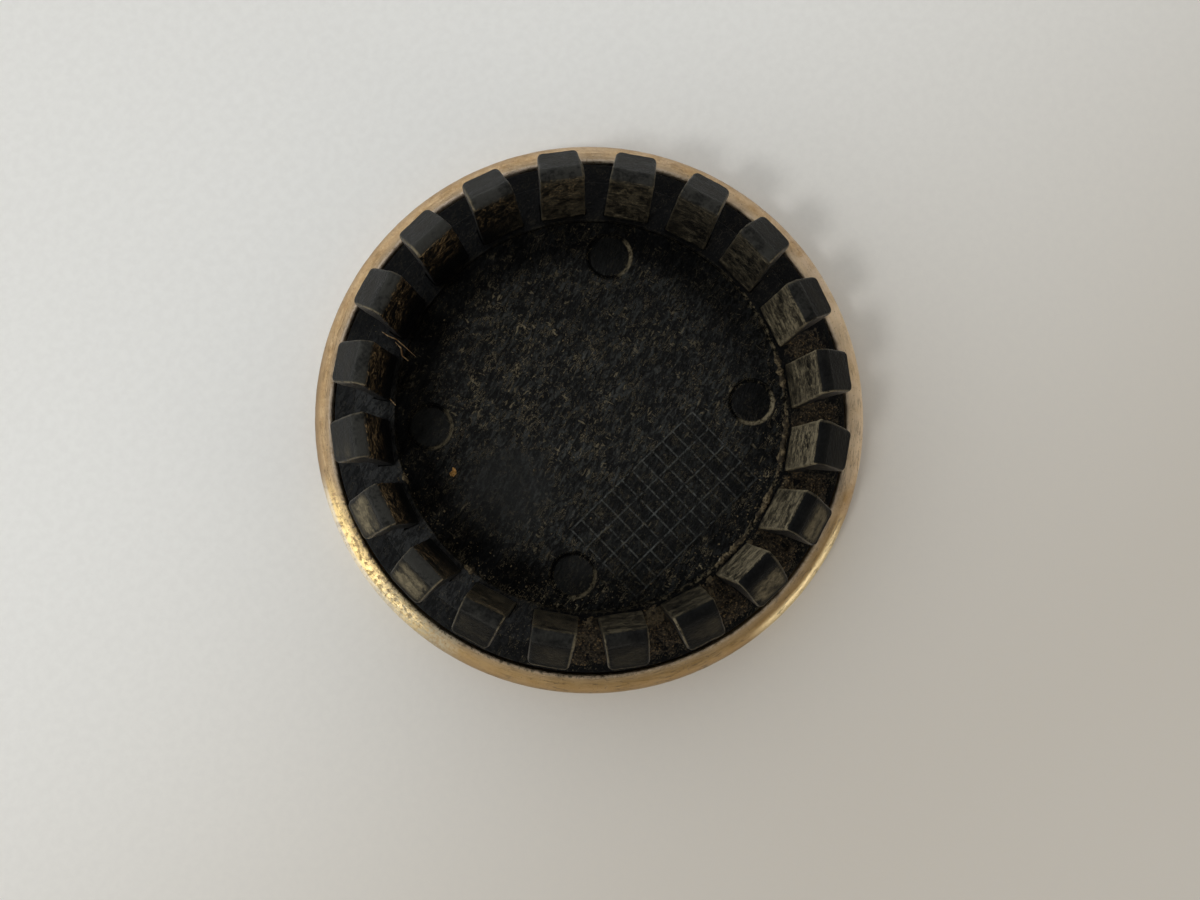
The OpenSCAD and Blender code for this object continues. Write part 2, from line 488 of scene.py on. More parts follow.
def make_grid():
    """The bare date grid: one slab whose upper side rises in a rounded ridge along each line."""
    ridge = [(-1.0, -0.1), (-0.75, 0.35), (-0.4, 0.85), (0, 1.0), (0.4, 0.85), (0.75, 0.35), (1.0, -0.1)]
    half = GRID_LINE_W / 2

    def stations(low, high, cells):
        centres = [low + (high - low) * i / cells for i in range(cells + 1)]
        return [(c + half * 1.3 * u, h) for c in centres for u, h in ridge]

    across = stations(*GRID_X, GRID_COLUMNS)
    along = stations(*GRID_Y, GRID_ROWS)
    shell = Shell()
    upper = []
    for y, hy in along:
        row = []
        for x, hx in across:
            wear = 0.75 + 0.25 * noise.noise(Vector((x * 0.5, y * 0.5, 0)))
            height = GRID_LINE_H * max(hx, hy) * wear
            row.append(Vector((x, y, FLOOR_Z - 0.03 + height)))
        upper.append(shell.ring(row))
    lower = [shell.ring([Vector((x, y, FLOOR_Z - GRID_SUNK)) for x, _ in across]) for y, _ in along]
    shell.slab(upper, lower)
    return shell.made("date_grid")


def make_gate_mark():
    """The small round scar that the moulding gate leaves in the floor."""
    outline = [Vector(p) for p in (
        (0, -0.4), (0.66, -0.4), (0.66, 0.0), (0.6, 0.05),
        (0.52, 0.05), (0.44, -0.02), (0.2, 0.01), (0, 0.03),
    )]
    middle = Vector((GATE_X, GATE_Y, FLOOR_Z - 0.02))
    return turned(outline, 28, lambda p: p + middle).made("gate_mark")


def make_clip_body():
    body = make_base()
    for cutter in (make_slit_cutters(), make_mark_cutters()):
        combined(body, cutter, "DIFFERENCE")
    for addition in (make_fingers(), make_grid(), make_gate_mark()):
        combined(body, addition, "UNION")
    smooth(body.data, SHARP_ANGLE)
    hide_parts("clip_body")
    return even_shading(body)


# Loose dirt

ICO_LONG = (1 + math.sqrt(5)) / 2
ICO_POINTS = [Vector(p).normalized() for p in (
    (-1, ICO_LONG, 0), (1, ICO_LONG, 0), (-1, -ICO_LONG, 0), (1, -ICO_LONG, 0),
    (0, -1, ICO_LONG), (0, 1, ICO_LONG), (0, -1, -ICO_LONG), (0, 1, -ICO_LONG),
    (ICO_LONG, 0, -1), (ICO_LONG, 0, 1), (-ICO_LONG, 0, -1), (-ICO_LONG, 0, 1),
)]
ICO_FACES = [
    (0, 11, 5), (0, 5, 1), (0, 1, 7), (0, 7, 10), (0, 10, 11),
    (1, 5, 9), (5, 11, 4), (11, 10, 2), (10, 7, 6), (7, 1, 8),
    (3, 9, 4), (3, 4, 2), (3, 2, 6), (3, 6, 8), (3, 8, 9),
    (4, 9, 5), (2, 4, 11), (6, 2, 10), (8, 6, 7), (9, 8, 1),
]
# Photograph angle from and to, radius from and to, and how many crumbs
CRUMB_ZONES = [
    (-110, 0, 20.5, 23.4, 130),
    (200, 260, 20.5, 23.5, 110),
    (192, 250, 23.0, 24.6, 90),
    (-75, -20, 24.0, 30.5, 90),
    (90, 200, 6, 23, 70),
    (-180, 180, 2, 23, 60),
    (-180, 180, 24.5, 30.5, 40),
]
# Photograph angles between which the step inside the fingers holds a crust
CRUST_SPANS = [(-52, -37), (-34, -21), (-19, 3), (6, 19), (197, 201), (230, 234)]
CRUST_STEP = 0.45
# Each thread's points by the photograph's right, its up and the height
THREADS = [
    [(-24.9, 9.6, 8.9), (-24.3, 9.2, 8.3), (-23.4, 8.9, 7.7), (-22.5, 8.1, 7.3), (-21.2, 6.9, 7.15)],
    [(-23.6, 8.6, 7.5), (-22.9, 7.9, 7.4), (-22.8, 7.0, 7.2), (-22.1, 6.4, 7.1)],
    [(-27.0, 2.5, 7.0), (-25.6, 2.3, 7.5), (-24.3, 1.9, 7.4), (-23.5, 1.0, 7.25)],
]
THREAD_RADII = (0.02, 0.08, 0.07, 0.06, 0.02)
# Depth of the dirt in each slot that holds some, and the radii between which it lies
SLOT_DIRT = {12: 0.25, 13: 0.5, 14: 0.6, 15: 0.55, 16: 0.4, 17: 0.35, 18: 0.25}
SLOT_DIRT_R = (23.75, 30.9)
SLOT_DIRT_LOWEST = -0.12


def crumb(dice, middle, size):
    """A small irregular lump, a little flattened, half sunk in what it lies on."""
    shell = Shell()
    turn = Matrix.Rotation(dice.uniform(0, 6), 3, "Z") @ Matrix.Rotation(dice.uniform(0, 6), 3, "X")
    flat = Matrix.Diagonal((dice.uniform(0.8, 1.5), 1, 0.6))
    shell.ring([middle + flat @ turn @ p * size * dice.uniform(0.7, 1.15) for p in ICO_POINTS])
    shell.faces = list(ICO_FACES)
    return shell


def on_mark(x, y):
    return any(math.hypot(x - mx, y - my) < MARK_R + 0.2 for mx, my in MARK_PLACES)


def make_crumbs():
    """Crumbs of dried dirt, thick by the wall on the photograph's lower side and thin elsewhere."""
    dice = random.Random(CRUMB_SEED)
    crumbs = Shell()
    for start, end, low, high, count in CRUMB_ZONES:
        for _ in range(count):
            a = math.radians(dice.uniform(start, end)) + PHOTO_TURN
            r = dice.uniform(low, high)
            size = 0.05 + 0.11 * dice.random() ** 2.5
            x, y = r * math.cos(a), r * math.sin(a)
            from_finger = abs((a / FINGER_STEP + 0.5) % 1 - 0.5) * FINGER_STEP * r
            if on_mark(x, y) or (r > LEDGE_IN_R and from_finger < FINGER_HALF_W + 0.1):
                continue
            crumbs.add(crumb(dice, Vector((x, y, base_surface(r) + size * 0.2)), size))
    for start, end in CRUST_SPANS:
        crumbs.add(crust_ribbon(start, end))
    return crumbs.made("dust_crumbs", sharp=50)


def make_threads():
    """Thin bits of dried grass caught between the fingers on the photograph's left."""
    threads = Shell()
    above = Vector((0, 0, 1))
    for corners in THREADS:
        points = [to_part(*corner) for corner in corners]
        for k, radius in enumerate(THREAD_RADII[:len(points)]):
            ahead = points[min(k + 1, len(points) - 1)] - points[max(k - 1, 0)]
            across = ahead.normalized().cross(above)
            ring = threads.ring([
                points[k] + (across * math.cos(t) + above * math.sin(t)) * radius
                for t in map(math.radians, range(0, 360, 60))
            ])
            if k:
                threads.join(ring, last)
            else:
                threads.faces.append(tuple(ring))
            last = ring
        threads.faces.append(tuple(reversed(last)))
    return threads.made("grass_threads", sharp=80)


def crust_ribbon(start, end):
    """A low uneven ridge of dried dirt along the step inside the fingers, between two photograph angles."""
    steps = round((end - start) / CRUST_STEP)
    shell = Shell()
    rings = []
    for i in range(steps + 1):
        a = math.radians(start + (end - start) * i / steps) + PHOTO_TURN
        out = Vector((math.cos(a), math.sin(a), 0))
        lump = noise.noise(out * 40) + 0.6 * noise.noise(out * 130)
        taper = min(1, 4 * i / steps, 4 * (1 - i / steps)) + 0.02
        half = max(0.05, (0.36 + 0.26 * lump) * taper)
        high = max(0.03, (0.28 + 0.3 * lump) * taper)
        middle = out * (LEDGE_IN_R + 0.2 * noise.noise(out * 22)) + Vector((0, 0, FLOOR_Z + 0.08))
        rings.append(shell.ring([
            middle + out * (half * math.cos(t)) + Vector((0, 0, high * math.sin(t)))
            for t in map(math.radians, (0, 35, 65, 90, 115, 145, 180, 270))
        ]))
    for lower, upper in zip(rings, rings[1:]):
        shell.join(upper, lower)
    shell.faces += [tuple(reversed(rings[0])), tuple(rings[-1])]
    return shell


def make_slot_dirt():
    """Dirt caked between the fingers on the photograph's lower right."""
    rows, columns = 56, 34
    inner_r, outer_r = SLOT_DIRT_R
    cakes = Shell()
    for slot, depth in SLOT_DIRT.items():
        middle = (slot + 0.5) * FINGER_STEP
        shell = Shell()
        upper, lower = [], []
        for j in range(rows + 1):
            v = j / rows
            r = inner_r + (outer_r - inner_r) * v
            half = FINGER_STEP / 2 * r - (FINGER_HALF_W - (r - FINGER_IN_R) * SIDE_TAPER) + 0.25
            top_row, low_row = [], []
            for i in range(columns + 1):
                u = 2 * i / columns - 1
                a = middle + u * half / r
                x, y = r * math.cos(a), r * math.sin(a)
                edge = min(1, (1 - abs(u)) * 4 + 0.35) * min(1, 6 * v, 5 * (1 - v))
                lumps = 0.5 + 0.9 * noise.noise(Vector((x * 0.8, y * 0.8, slot)))
                grains = 0.35 * noise.noise(Vector((x * 3.2, y * 3.2, 4)))
                lift = depth * (lumps + grains) * edge - 0.1 * (1 - edge) - 0.06
                if r < FINGER_IN_R + 1.3 and u > 0.45:
                    lift = SLOT_DIRT_LOWEST
                ground = base_surface(r)
                top_row.append(Vector((x, y, ground + max(SLOT_DIRT_LOWEST, lift))))
                low_row.append(Vector((x, y, ground - 0.2)))
            upper.append(shell.ring(top_row))
            lower.append(shell.ring(low_row))
        shell.slab(upper, lower, flip=True)
        cakes.add(shell)
    return cakes.made("slot_dirt", sharp=60)


def make_chip():
    """A chip of the cover's gold that lies on the floor."""
    dice = random.Random(CHIP_SEED)
    chip = crumb(dice, Vector((-16.9, 6.4, FLOOR_Z + 0.12)), 0.42)
    chip.add(crumb(dice, Vector((-16.5, 6.7, FLOOR_Z + 0.1)), 0.28))
    return chip.made("gold_chip", sharp=20)


# Shader values

class Signal:
    """A shader output that takes part in sums as a number does."""

    def __init__(self, graph, socket):
        self.graph = graph
        self.socket = socket

    def __add__(self, other):
        return self.graph.math("ADD", self, other)

    __radd__ = __add__

    def __sub__(self, other):
        return self.graph.math("SUBTRACT", self, other)

    def __rsub__(self, other):
        return self.graph.math("SUBTRACT", other, self)

    def __mul__(self, other):
        return self.graph.math("MULTIPLY", self, other)

    __rmul__ = __mul__

    def __truediv__(self, other):
        return self.graph.math("DIVIDE", self, other)

    def __abs__(self):
        return self.graph.math("ABSOLUTE", self)

    def most(self, other):
        return self.graph.math("MAXIMUM", self, other)

    def least(self, other):
        return self.graph.math("MINIMUM", self, other)

    def rise(self, low, high):
        """0 up to low, 1 from high, with soft ends."""
        return self.graph.ramp(self, low, high, 0, 1)

    def fall(self, low, high):
        """1 up to low, 0 from high, with soft ends."""
        return self.graph.ramp(self, low, high, 1, 0)


class Graph:
    """A node tree under construction. Each method adds a node and returns its output as a Signal."""

    def __init__(self, tree):
        self.tree = tree

    def fill(self, socket, value):
        if isinstance(value, Signal):
            self.tree.links.new(value.socket, socket)
        elif value is not None:
            socket.default_value = value

    def node(self, kind, inputs=(), named=None, out=0, **settings):
        made = self.tree.nodes.new(kind)
        for key, value in settings.items():
            setattr(made, key, value)
        for socket, value in zip(made.inputs, inputs):
            self.fill(socket, value)
        for key, value in (named or {}).items():
            self.fill(made.inputs[key], value)
        return Signal(self, made.outputs[out])

    def math(self, operation, a, b=None):
        return self.node("ShaderNodeMath", [a, b], operation=operation)

    def ramp(self, value, low, high, start, end):
        return self.node("ShaderNodeMapRange", named={
            "Value": value, "From Min": low, "From Max": high, "To Min": start, "To Max": end,
        }, interpolation_type="SMOOTHSTEP")

    def split(self, vector):
        node = self.tree.nodes.new("ShaderNodeSeparateXYZ")
        self.fill(node.inputs[0], vector)
        return [Signal(self, out) for out in node.outputs]

    def vector(self, x, y, z):
        return self.node("ShaderNodeCombineXYZ", [x, y, z])

    def noise(self, vector, scale, detail=3, roughness=0.5, distortion=0.0):
        return self.node("ShaderNodeTexNoise", named={
            "Vector": vector, "Scale": scale, "Detail": detail,
            "Roughness": roughness, "Distortion": distortion,
        })

    def mix(self, share, a, b):
        """The colour a where share is 0, and b where it is 1."""
        return self.node("ShaderNodeMix", [share] + [None] * 5 + [a, b], data_type="RGBA", out=2)

    def bump(self, height, distance, strength=1.0):
        return self.node("ShaderNodeBump", named={
            "Height": height, "Distance": distance * MM, "Strength": strength,
        })

    def lines(self, vector, scale, width, detail=3, distortion=0.0):
        """Thin wandering lines, 1 on the line and 0 beside it."""
        return abs(self.noise(vector, scale, detail, 0.5, distortion) - 0.5).fall(width * 0.3, width)


class Surface(Graph):
    """A material whose nodes know where on the part they are, in millimetres."""

    def __init__(self, name):
        self.material = bpy.data.materials.new(name)
        self.material.use_nodes = True
        super().__init__(self.material.node_tree)
        self.shader = self.tree.nodes["Principled BSDF"]
        self.place = self.node("ShaderNodeVectorMath", [self.node("ShaderNodeTexCoord", out="Object")],
                               named={"Scale": 1 / MM}, operation="SCALE")
        self.x, self.y, self.z = self.split(self.place)
        self.r = self.length(self.x, self.y)
        self.angle = self.math("ARCTAN2", self.y, self.x)
        self.tone = None

    def toward(self, photo_angle, inner, outer):
        """1 within inner degrees of a direction given as the photograph's angle, and 0 beyond outer."""
        return self.within(self.angle, photo_angle, inner, outer)

    def within(self, angle, photo_angle, inner, outer):
        """The same for any angle signal."""
        cosine = self.math("COSINE", angle - (math.radians(photo_angle) + PHOTO_TURN))
        return cosine.rise(math.cos(math.radians(outer)), math.cos(math.radians(inner)))

    def length(self, dx, dy):
        return self.math("SQRT", dx * dx + dy * dy)

    def near(self, x, y, inner, outer):
        """1 within inner mm of a point of the floor plane, and 0 beyond outer."""
        return self.length(self.x - x, self.y - y).fall(inner, outer)

    def lay(self, share, red, green, blue):
        """Lays a colour over the tone that the surface has so far."""
        self.tone = self.mix(share, self.tone, colour(red, green, blue))

    def finish(self, **sockets):
        """Joins the tone and the sockets given by name to the shader."""
        self.fill(self.shader.inputs["Base Color"], self.tone)
        for name, value in sockets.items():
            self.fill(self.shader.inputs[name.replace("_", " ")], value)
        return self.material


def colour(red, green, blue):
    return (red, green, blue, 1)


def gold_material():
    shade = Surface("worn_gold")
    r, z = shade.r, shade.z
    around = shade.vector(shade.x / r * 4, shade.y / r * 4, r * 1.6 + z)
    streaks = shade.noise(around, 2.6, detail=5, roughness=0.65)
    scratches = shade.lines(around, 2.2, 0.03, detail=4) * shade.noise(shade.place, 0.5).rise(0.42, 0.6)
    blotches = shade.noise(shade.place, 0.35, detail=4, roughness=0.6)
    flakes = shade.noise(shade.place, 2.4, detail=5, roughness=0.72)
    specks = shade.noise(shade.place, 4.5, detail=2)
    # The rim has the wear that the photograph shows. The hidden front face is even, with fine scratches.
    on_rim = r.rise(29.5, 31.5) * z.rise(0.4, 2.4)
    on_face = 1 - on_rim
    fine_scratches = shade.lines(shade.place, 0.22, 0.0035, detail=2)
    fine_scratches = fine_scratches.most(shade.lines(shade.place, 0.4, 0.004, detail=1))

    def side(photo_angle, inner, outer):
        return shade.toward(photo_angle, inner, outer) * on_rim

    shade.tone = shade.mix(blotches.rise(0.38, 0.62), colour(0.42, 0.275, 0.13), colour(0.50, 0.345, 0.18))
    shade.lay(on_face * 0.6, 0.46, 0.31, 0.145)
    shade.lay(streaks.rise(0.44, 0.60) * on_rim * 0.42, 0.31, 0.19, 0.085)
    shade.lay(flakes.rise(0.52, 0.64) * (0.1 + on_rim * 0.3), 0.66, 0.49, 0.29)
    shade.lay(flakes.fall(0.38, 0.47) * (0.1 + on_rim * 0.4), 0.29, 0.165, 0.075)
    shade.lay(fine_scratches * on_face * 0.5, 0.66, 0.52, 0.32)
    lower_side = side(-50, 30, 90)
    shade.lay(side(-78, 48, 72) * 0.75, 0.305, 0.195, 0.068)
    outer_part = r.rise(CREST_R + 0.6, COVER_R - 0.4) * (on_rim * 0.35 + side(188, 12, 28) * 0.6)
    shade.lay(outer_part, 0.28, 0.18, 0.085)
    # A chalky film that is thickest on the upper right of the photograph
    film = 0.06 + side(50, 40, 90) * 0.3 + side(12, 15, 38) * 0.7
    film = film * blotches.rise(0.3, 0.6) * (0.5 + flakes * 0.8)
    shade.lay(film, 0.60, 0.47, 0.335)
    shade.lay(side(8, 10, 28) * 0.5, 0.72, 0.57, 0.38)
    lip = r.fall(RIM_IN_R + 0.15, RIM_IN_R + 0.5) * z.rise(RIM_Z - 1.2, RIM_Z - 0.5)
    bare = lip * (flakes + streaks * 0.4).rise(0.56, 0.70)
    bare = bare * (0.3 + side(125, 50, 90) * 0.6 + side(40, 15, 35) * 0.5)
    shade.lay(bare, 0.74, 0.68, 0.60)
    # On the lower left, towards the key lamp, a flaking stretch: bright yellow flakes that are a painted
    # highlight, a painted pale reflection along its outer edge, and a grey end
    flaking_highlight = side(214, 9, 22)
    flaky = shade.noise(shade.vector(shade.x / r * 20, shade.y / r * 20, r * 1.0 + z * 0.8), 2.2, detail=4)
    flaky = (flaky + flakes * 0.7).rise(0.64, 0.86)
    shade.lay(flaking_highlight * flaky, 1.0, 0.74, 0.33)
    shade.lay(flaking_highlight * (1 - flaky) * 0.6, 0.42, 0.27, 0.115)
    inner_band = r.fall(CREST_R, CREST_R + 0.7) * z.rise(RIM_Z - 0.8, RIM_Z - 0.3)
    band_share = 0.5 - side(-85, 55, 85) * 0.3 + side(42, 14, 34) * 0.35
    shade.lay(inner_band * band_share, 0.62, 0.46, 0.29)
    # The pale band on the outer edge is a painted reflection.
    pale_edge_reflection = r.rise(COVER_R - 0.9, COVER_R - 0.5) * side(211, 9, 20) * (0.5 + flakes)
    shade.lay(pale_edge_reflection * 0.6, 0.85, 0.81, 0.73)
    greyed = side(229, 6, 14) * (0.35 + flakes.rise(0.44, 0.58) * 0.65)
    shade.lay(greyed * 0.7, 0.42, 0.38, 0.27)
    # A thin painted highlight on the outer edge, towards the low lamp.
    gold_line_highlight = side(-38, 8, 18) * r.rise(COVER_R - 1.3, COVER_R - 0.8) * (0.4 + flakes)
    shade.lay(gold_line_highlight * 0.8, 1.0, 0.82, 0.48)
    dark_bits = specks.rise(0.66, 0.70) * r.rise(RIM_IN_R, RIM_IN_R + 0.6) * 0.5
    dark_bits = dark_bits.most(scratches * (0.08 + lower_side * 0.4)) * on_rim
    dark_lip = lip * flakes.fall(0.42, 0.52) * (0.12 + side(240, 25, 55) * 0.8)
    grime = dark_lip.most(dark_bits)
    shade.lay(grime, 0.055, 0.045, 0.03)
    glossy = flaking_highlight.most(gold_line_highlight)
    rough = 0.36 + flakes * 0.1 + grime * 0.3 + film * 0.3 - glossy * 0.12
    relief = flakes * (0.2 + flaking_highlight * 0.3) + flaking_highlight * flaky * 0.5 - dark_bits * 0.3 - fine_scratches * on_face * 0.3
    relief = relief + (streaks * 1.1 - scratches * 0.4) * on_rim
    normal = shade.bump(relief, 0.085, 0.9)
    metal = 0.68 + glossy * 0.27 - grime * 0.6 - film * 0.35 - (pale_edge_reflection + greyed) * 0.35 - inner_band * 0.35
    return shade.finish(Metallic=metal, Roughness=rough, Normal=normal)


# For each ejector mark, its dusty crescent's photograph angle, half its spread and how thick it is, and how
# pale the mark's face is
MARK_LOOKS = [(-10, 45, 1.0, 0.5), (-20, 60, 0.6, 1.0), (-40, 50, 0.6, 0.8), (-50, 65, 1.4, 0.0)]


def mark_dust_and_shade(shade):
    """The ejector marks' dusty crescents, their dark rims of painted shade, how pale each face is, and where
    the faces are.
    """
    dust = rim_shade = faces = inside = 0
    for (mark_x, mark_y), (aim, spread, amount, face) in zip(MARK_PLACES, MARK_LOOKS):
        dx, dy = shade.x - mark_x, shade.y - mark_y
        from_middle = shade.length(dx, dy)
        gap = abs(from_middle - (MARK_R - 0.12))
        side = shade.within(shade.math("ARCTAN2", dy, dx), aim, spread - 15, spread + 20)
        dust = gap.fall(0.08, 0.32) * side * amount + dust
        # A dark ring of painted shade round each mark's edge, away from its crescent.
        rim_shade = gap.fall(0.12, 0.34) * (1 - side * min(1, amount)) + rim_shade
        here = from_middle.fall(MARK_R - 0.6, MARK_R - 0.3)
        faces = here * face + faces
        inside = here + inside
    return dust, rim_shade, faces, inside


def black_material():
    shade = Surface("dusty_black_moulding")
    x, y, z, r = shade.x, shade.y, shade.z, shade.r
    # Place on the nearest finger: sideways distance from its middle, and its number
    turns = shade.angle / FINGER_STEP + 0.5
    number = shade.math("FLOORED_MODULO", shade.math("FLOOR", turns), float(FINGER_COUNT))
    across = (shade.math("FRACT", turns) - 0.5) * FINGER_STEP * r
    own = shade.node("ShaderNodeTexWhiteNoise", named={"W": number}, noise_dimensions="1D")
    half_w = FINGER_HALF_W - (z - LEDGE_Z) * SIDE_DRAFT - (r - FINGER_IN_R) * SIDE_TAPER
    side_gap = half_w - abs(across)
    facing = shade.split(shade.node("ShaderNodeNewGeometry", out="Normal"))[2]

    on_floor = z.fall(FLOOR_Z + 0.16, FLOOR_Z + 0.3) * r.fall(LEDGE_IN_R - 0.1, LEDGE_IN_R + 0.1)
    on_finger = z.rise(LEDGE_Z + 0.2, LEDGE_Z + 0.6)
    inner_face = on_finger * r.fall(FINGER_IN_R + 0.35, FINGER_IN_R + 0.6) * facing.fall(0.3, 0.75)
    top_band = z.rise(TOP_Z - 0.75, TOP_Z - 0.4)
    lead_in = facing.rise(0.2, 0.5) * z.rise(LEAD_Z - 0.3, LEAD_Z + 0.1) * (1 - top_band)
    flange = (1 - on_finger) * (1 - on_floor)
    root = on_finger * z.fall(LEDGE_Z + 0.7, LEDGE_Z + 2.6)

    # Textures: fine grain, moulded wrinkles that run along X, and streaks round the ring
    grain = shade.noise(shade.place, 2.6, detail=5, roughness=0.65)
    drawn = shade.vector((x * 0.97 + y * 0.26) * 0.36, y * 0.97 - x * 0.26, z)
    wrinkle = shade.noise(drawn, 1.3, detail=5, roughness=0.66, distortion=0.8)
    crease = shade.noise(drawn, 2.4, detail=4, roughness=0.6, distortion=0.7)
    strokes = abs(crease - 0.5).fall(0.006, 0.022) * shade.noise(shade.place, 0.8, detail=3).rise(0.49, 0.56)
    crossed = shade.vector(x * 0.97 + y * 0.26, (y * 0.97 - x * 0.26) * 0.36, z + 7)
    dashes = shade.noise(drawn, 2.5, detail=2, distortion=0.4).rise(0.64, 0.69)
    dashes = dashes.most(shade.noise(crossed, 2.3, detail=2, distortion=0.4).rise(0.65, 0.69))
    dashes = dashes * shade.noise(shade.place, 0.32, detail=3).rise(0.46, 0.60)
    long_scratch = shade.lines(shade.vector(x * 0.18, y, 5), 0.8, 0.008, detail=2)
    blotch = shade.noise(shade.place, 0.2, detail=4, roughness=0.6)
    fleck = shade.noise(shade.place, 3.6, detail=3, roughness=0.55)
    # The camera looks along the fingers' inner faces, so their streaks are tall
    streak_place = shade.vector(across * 0.42, z * 0.5 + r * 1.6, number * 7.3)
    streak = shade.noise(streak_place, 2.4, detail=5, roughness=0.7, distortion=0.6)
    smudge = shade.noise(shade.vector(across, z - r * 0.8, number * 5.1), 0.42, detail=4, roughness=0.62)
    strand_place = shade.vector(across * 0.40, z * 0.42 + r * 1.3 + across * 0.14, number * 4.7)
    hairs = shade.lines(strand_place, 1.2, 0.018, detail=3, distortion=0.9)
    hairs = hairs.most(shade.lines(strand_place, 2.1, 0.022, detail=2, distortion=0.6) * 0.9)

    # Dust on the floor
    wall_dust = r.rise(19.0, 23.0) * shade.toward(-55, 40, 95)
    middle_dust = shade.near(-1.0, 9.0, 4, 15)
    # Painted shade on the floor next to the fingers' wall, darkest on the left: less dust, film and shine
    # there.
    painted_wall_shade = r.rise(17.5, 20.8) * (shade.toward(150, 90, 140) * 0.4 + 0.6)
    smooth_sheen_patch = shade.near(-13.4, 0.5, 2.5, 8)
    dusty = (middle_dust * 0.7).most(wall_dust) * blotch.rise(0.38, 0.62) + 0.5 * (1 - painted_wall_shade * 0.7)
    dusty = dusty * (1 - smooth_sheen_patch * 0.8)
    crescents, mark_rim_shade, mark_faces, inside_mark = mark_dust_and_shade(shade)
    dusty = dusty * (1 - inside_mark * 0.8)
    on_grid = x.rise(GRID_X[0] - 0.3, GRID_X[0]) * x.fall(GRID_X[1], GRID_X[1] + 0.3)
    on_grid = on_grid * y.rise(GRID_Y[0] - 0.3, GRID_Y[0]) * y.fall(GRID_Y[1], GRID_Y[1] + 0.3)
    floor_dust = dusty * (1 - on_grid * 0.5) * (strokes * 1.4 + dashes * 1.15 + fleck.rise(0.62, 0.7) * 0.8)
    floor_dust = floor_dust + long_scratch * blotch.rise(0.5, 0.7) * 0.12
    ridge = on_grid * z.rise(FLOOR_Z + 0.02, FLOOR_Z + 0.08) * grain.rise(0.36, 0.58)
    mark_rim_shade = mark_rim_shade * on_floor
    floor_dust = on_floor * (floor_dust + crescents * grain.rise(0.3, 0.55))
    # A thin grey film on every raised wrinkle of the floor, taken off beside the wall as painted shade, most
    # on the left
    film = crease.rise(0.47, 0.66) * 0.5 + grain.rise(0.51, 0.65) * 0.3
    # On the smooth patch the film is thinner and carries a painted grey sheen.
    film = film * (1 - smooth_sheen_patch * 0.6) + smooth_sheen_patch * 0.1
    film = on_floor * (film * (0.6 + blotch.rise(0.3, 0.62) * 0.4) * (1 - on_grid * 0.5) + ridge)
    film = film * (1 - painted_wall_shade * 0.85) * (1 - inside_mark * 0.8) + mark_faces * on_floor * 0.1
    # The marks' rims of painted shade take off the film.
    film = film * (1 - mark_rim_shade)
    ledge_side = shade.toward(-12, 30, 70) * 0.8 + shade.toward(-100, 60, 100) * 0.12 + 0.06
    ledge_line = abs(r - LEDGE_IN_R - 0.05).fall(0.06, 0.32) * z.fall(LEDGE_Z + 0.15, LEDGE_Z + 0.3)
    floor_dust = floor_dust + ledge_line * ledge_side * grain.rise(0.46, 0.6)

    # Dust on the fingers
    khaki_side = shade.toward(-14, 20, 52) * 1.2 + shade.toward(65, 30, 60) * 0.3
    khaki_side = khaki_side + shade.toward(-80, 30, 60) * 0.35
    mottle = (0.15 + smudge.rise(0.40, 0.56) * 0.85) * (0.2 + streak.rise(0.44, 0.58) * 0.8)
    face_dust = inner_face * khaki_side * (mottle * 0.85 + hairs * 0.7) * (0.6 + own * 0.6)
    top_line = abs(z - TOP_Z + 0.95 + smudge * 0.8 - 0.4).fall(0.08, 0.4)
    rim_line = inner_face * khaki_side * (top_line + side_gap.fall(0.05, 0.3))
    face_dust = face_dust + rim_line * grain.rise(0.36, 0.54) * 0.6
    tangle = hairs * (0.3 + smudge.rise(0.38, 0.55) * 0.7) + streak.rise(0.6, 0.68) * 0.15
    strand_side = shade.toward(170, 25, 60) * 0.8 + shade.toward(172, 60, 105) * 0.4
    # Orange-brown strands on the inner faces, faded out towards the root as painted shade.
    strands_and_root_shade = inner_face * strand_side * tangle * z.rise(LEDGE_Z + 3, TOP_Z - 2.5)
    lead_side = shade.toward(214, 10, 26) * 1.5 + shade.toward(-38, 8, 26) + shade.toward(-80, 35, 60) * 0.12
    brushed_place = shade.vector(across * 1.1, (z - r) * 0.7, number * 3.7)
    brushed = shade.noise(brushed_place, 1.5, detail=5, roughness=0.68, distortion=0.6)
    ragged = (smudge + brushed - 1) * 2
    middle = (side_gap + ragged * 0.5).rise(0.1, 0.9) * (z - ragged * 0.4).rise(LEAD_Z + 0.1, LEAD_Z + 0.8)
    middle = middle * (z + ragged).fall(TOP_Z - 1.5, TOP_Z - 0.5)
    lead_dust = lead_in * middle * (0.25 + smudge.rise(0.38, 0.56) * 0.75)
    lead_dust = lead_dust * (0.55 + brushed.rise(0.4, 0.6) * 0.45) * (0.025 + lead_side * 0.5)
    near_edge = side_gap.fall(0.03, 0.24).most(z.fall(LEAD_Z - 0.1, LEAD_Z + 0.2))
    low_side = (across * shade.math("COSINE", shade.angle - PHOTO_TURN)).fall(-1.8, -0.4)
    worn_edge = on_finger * near_edge * facing.rise(0.1, 0.5) * (grain + smudge * 0.5).rise(0.56, 0.78)
    worn_edge = worn_edge * (0.22 + low_side * 0.45 + shade.toward(-85, 25, 50) * 0.3)
    root_dirt = root * inner_face * streak.rise(0.5, 0.6) * khaki_side * 0.4
    flange_dust = flange * (strokes * 0.25 + fleck.rise(0.62, 0.7) * 0.3) * (0.3 + shade.toward(-60, 40, 80))
    dust = (floor_dust + face_dust + lead_dust + worn_edge + root_dirt + flange_dust).least(1)

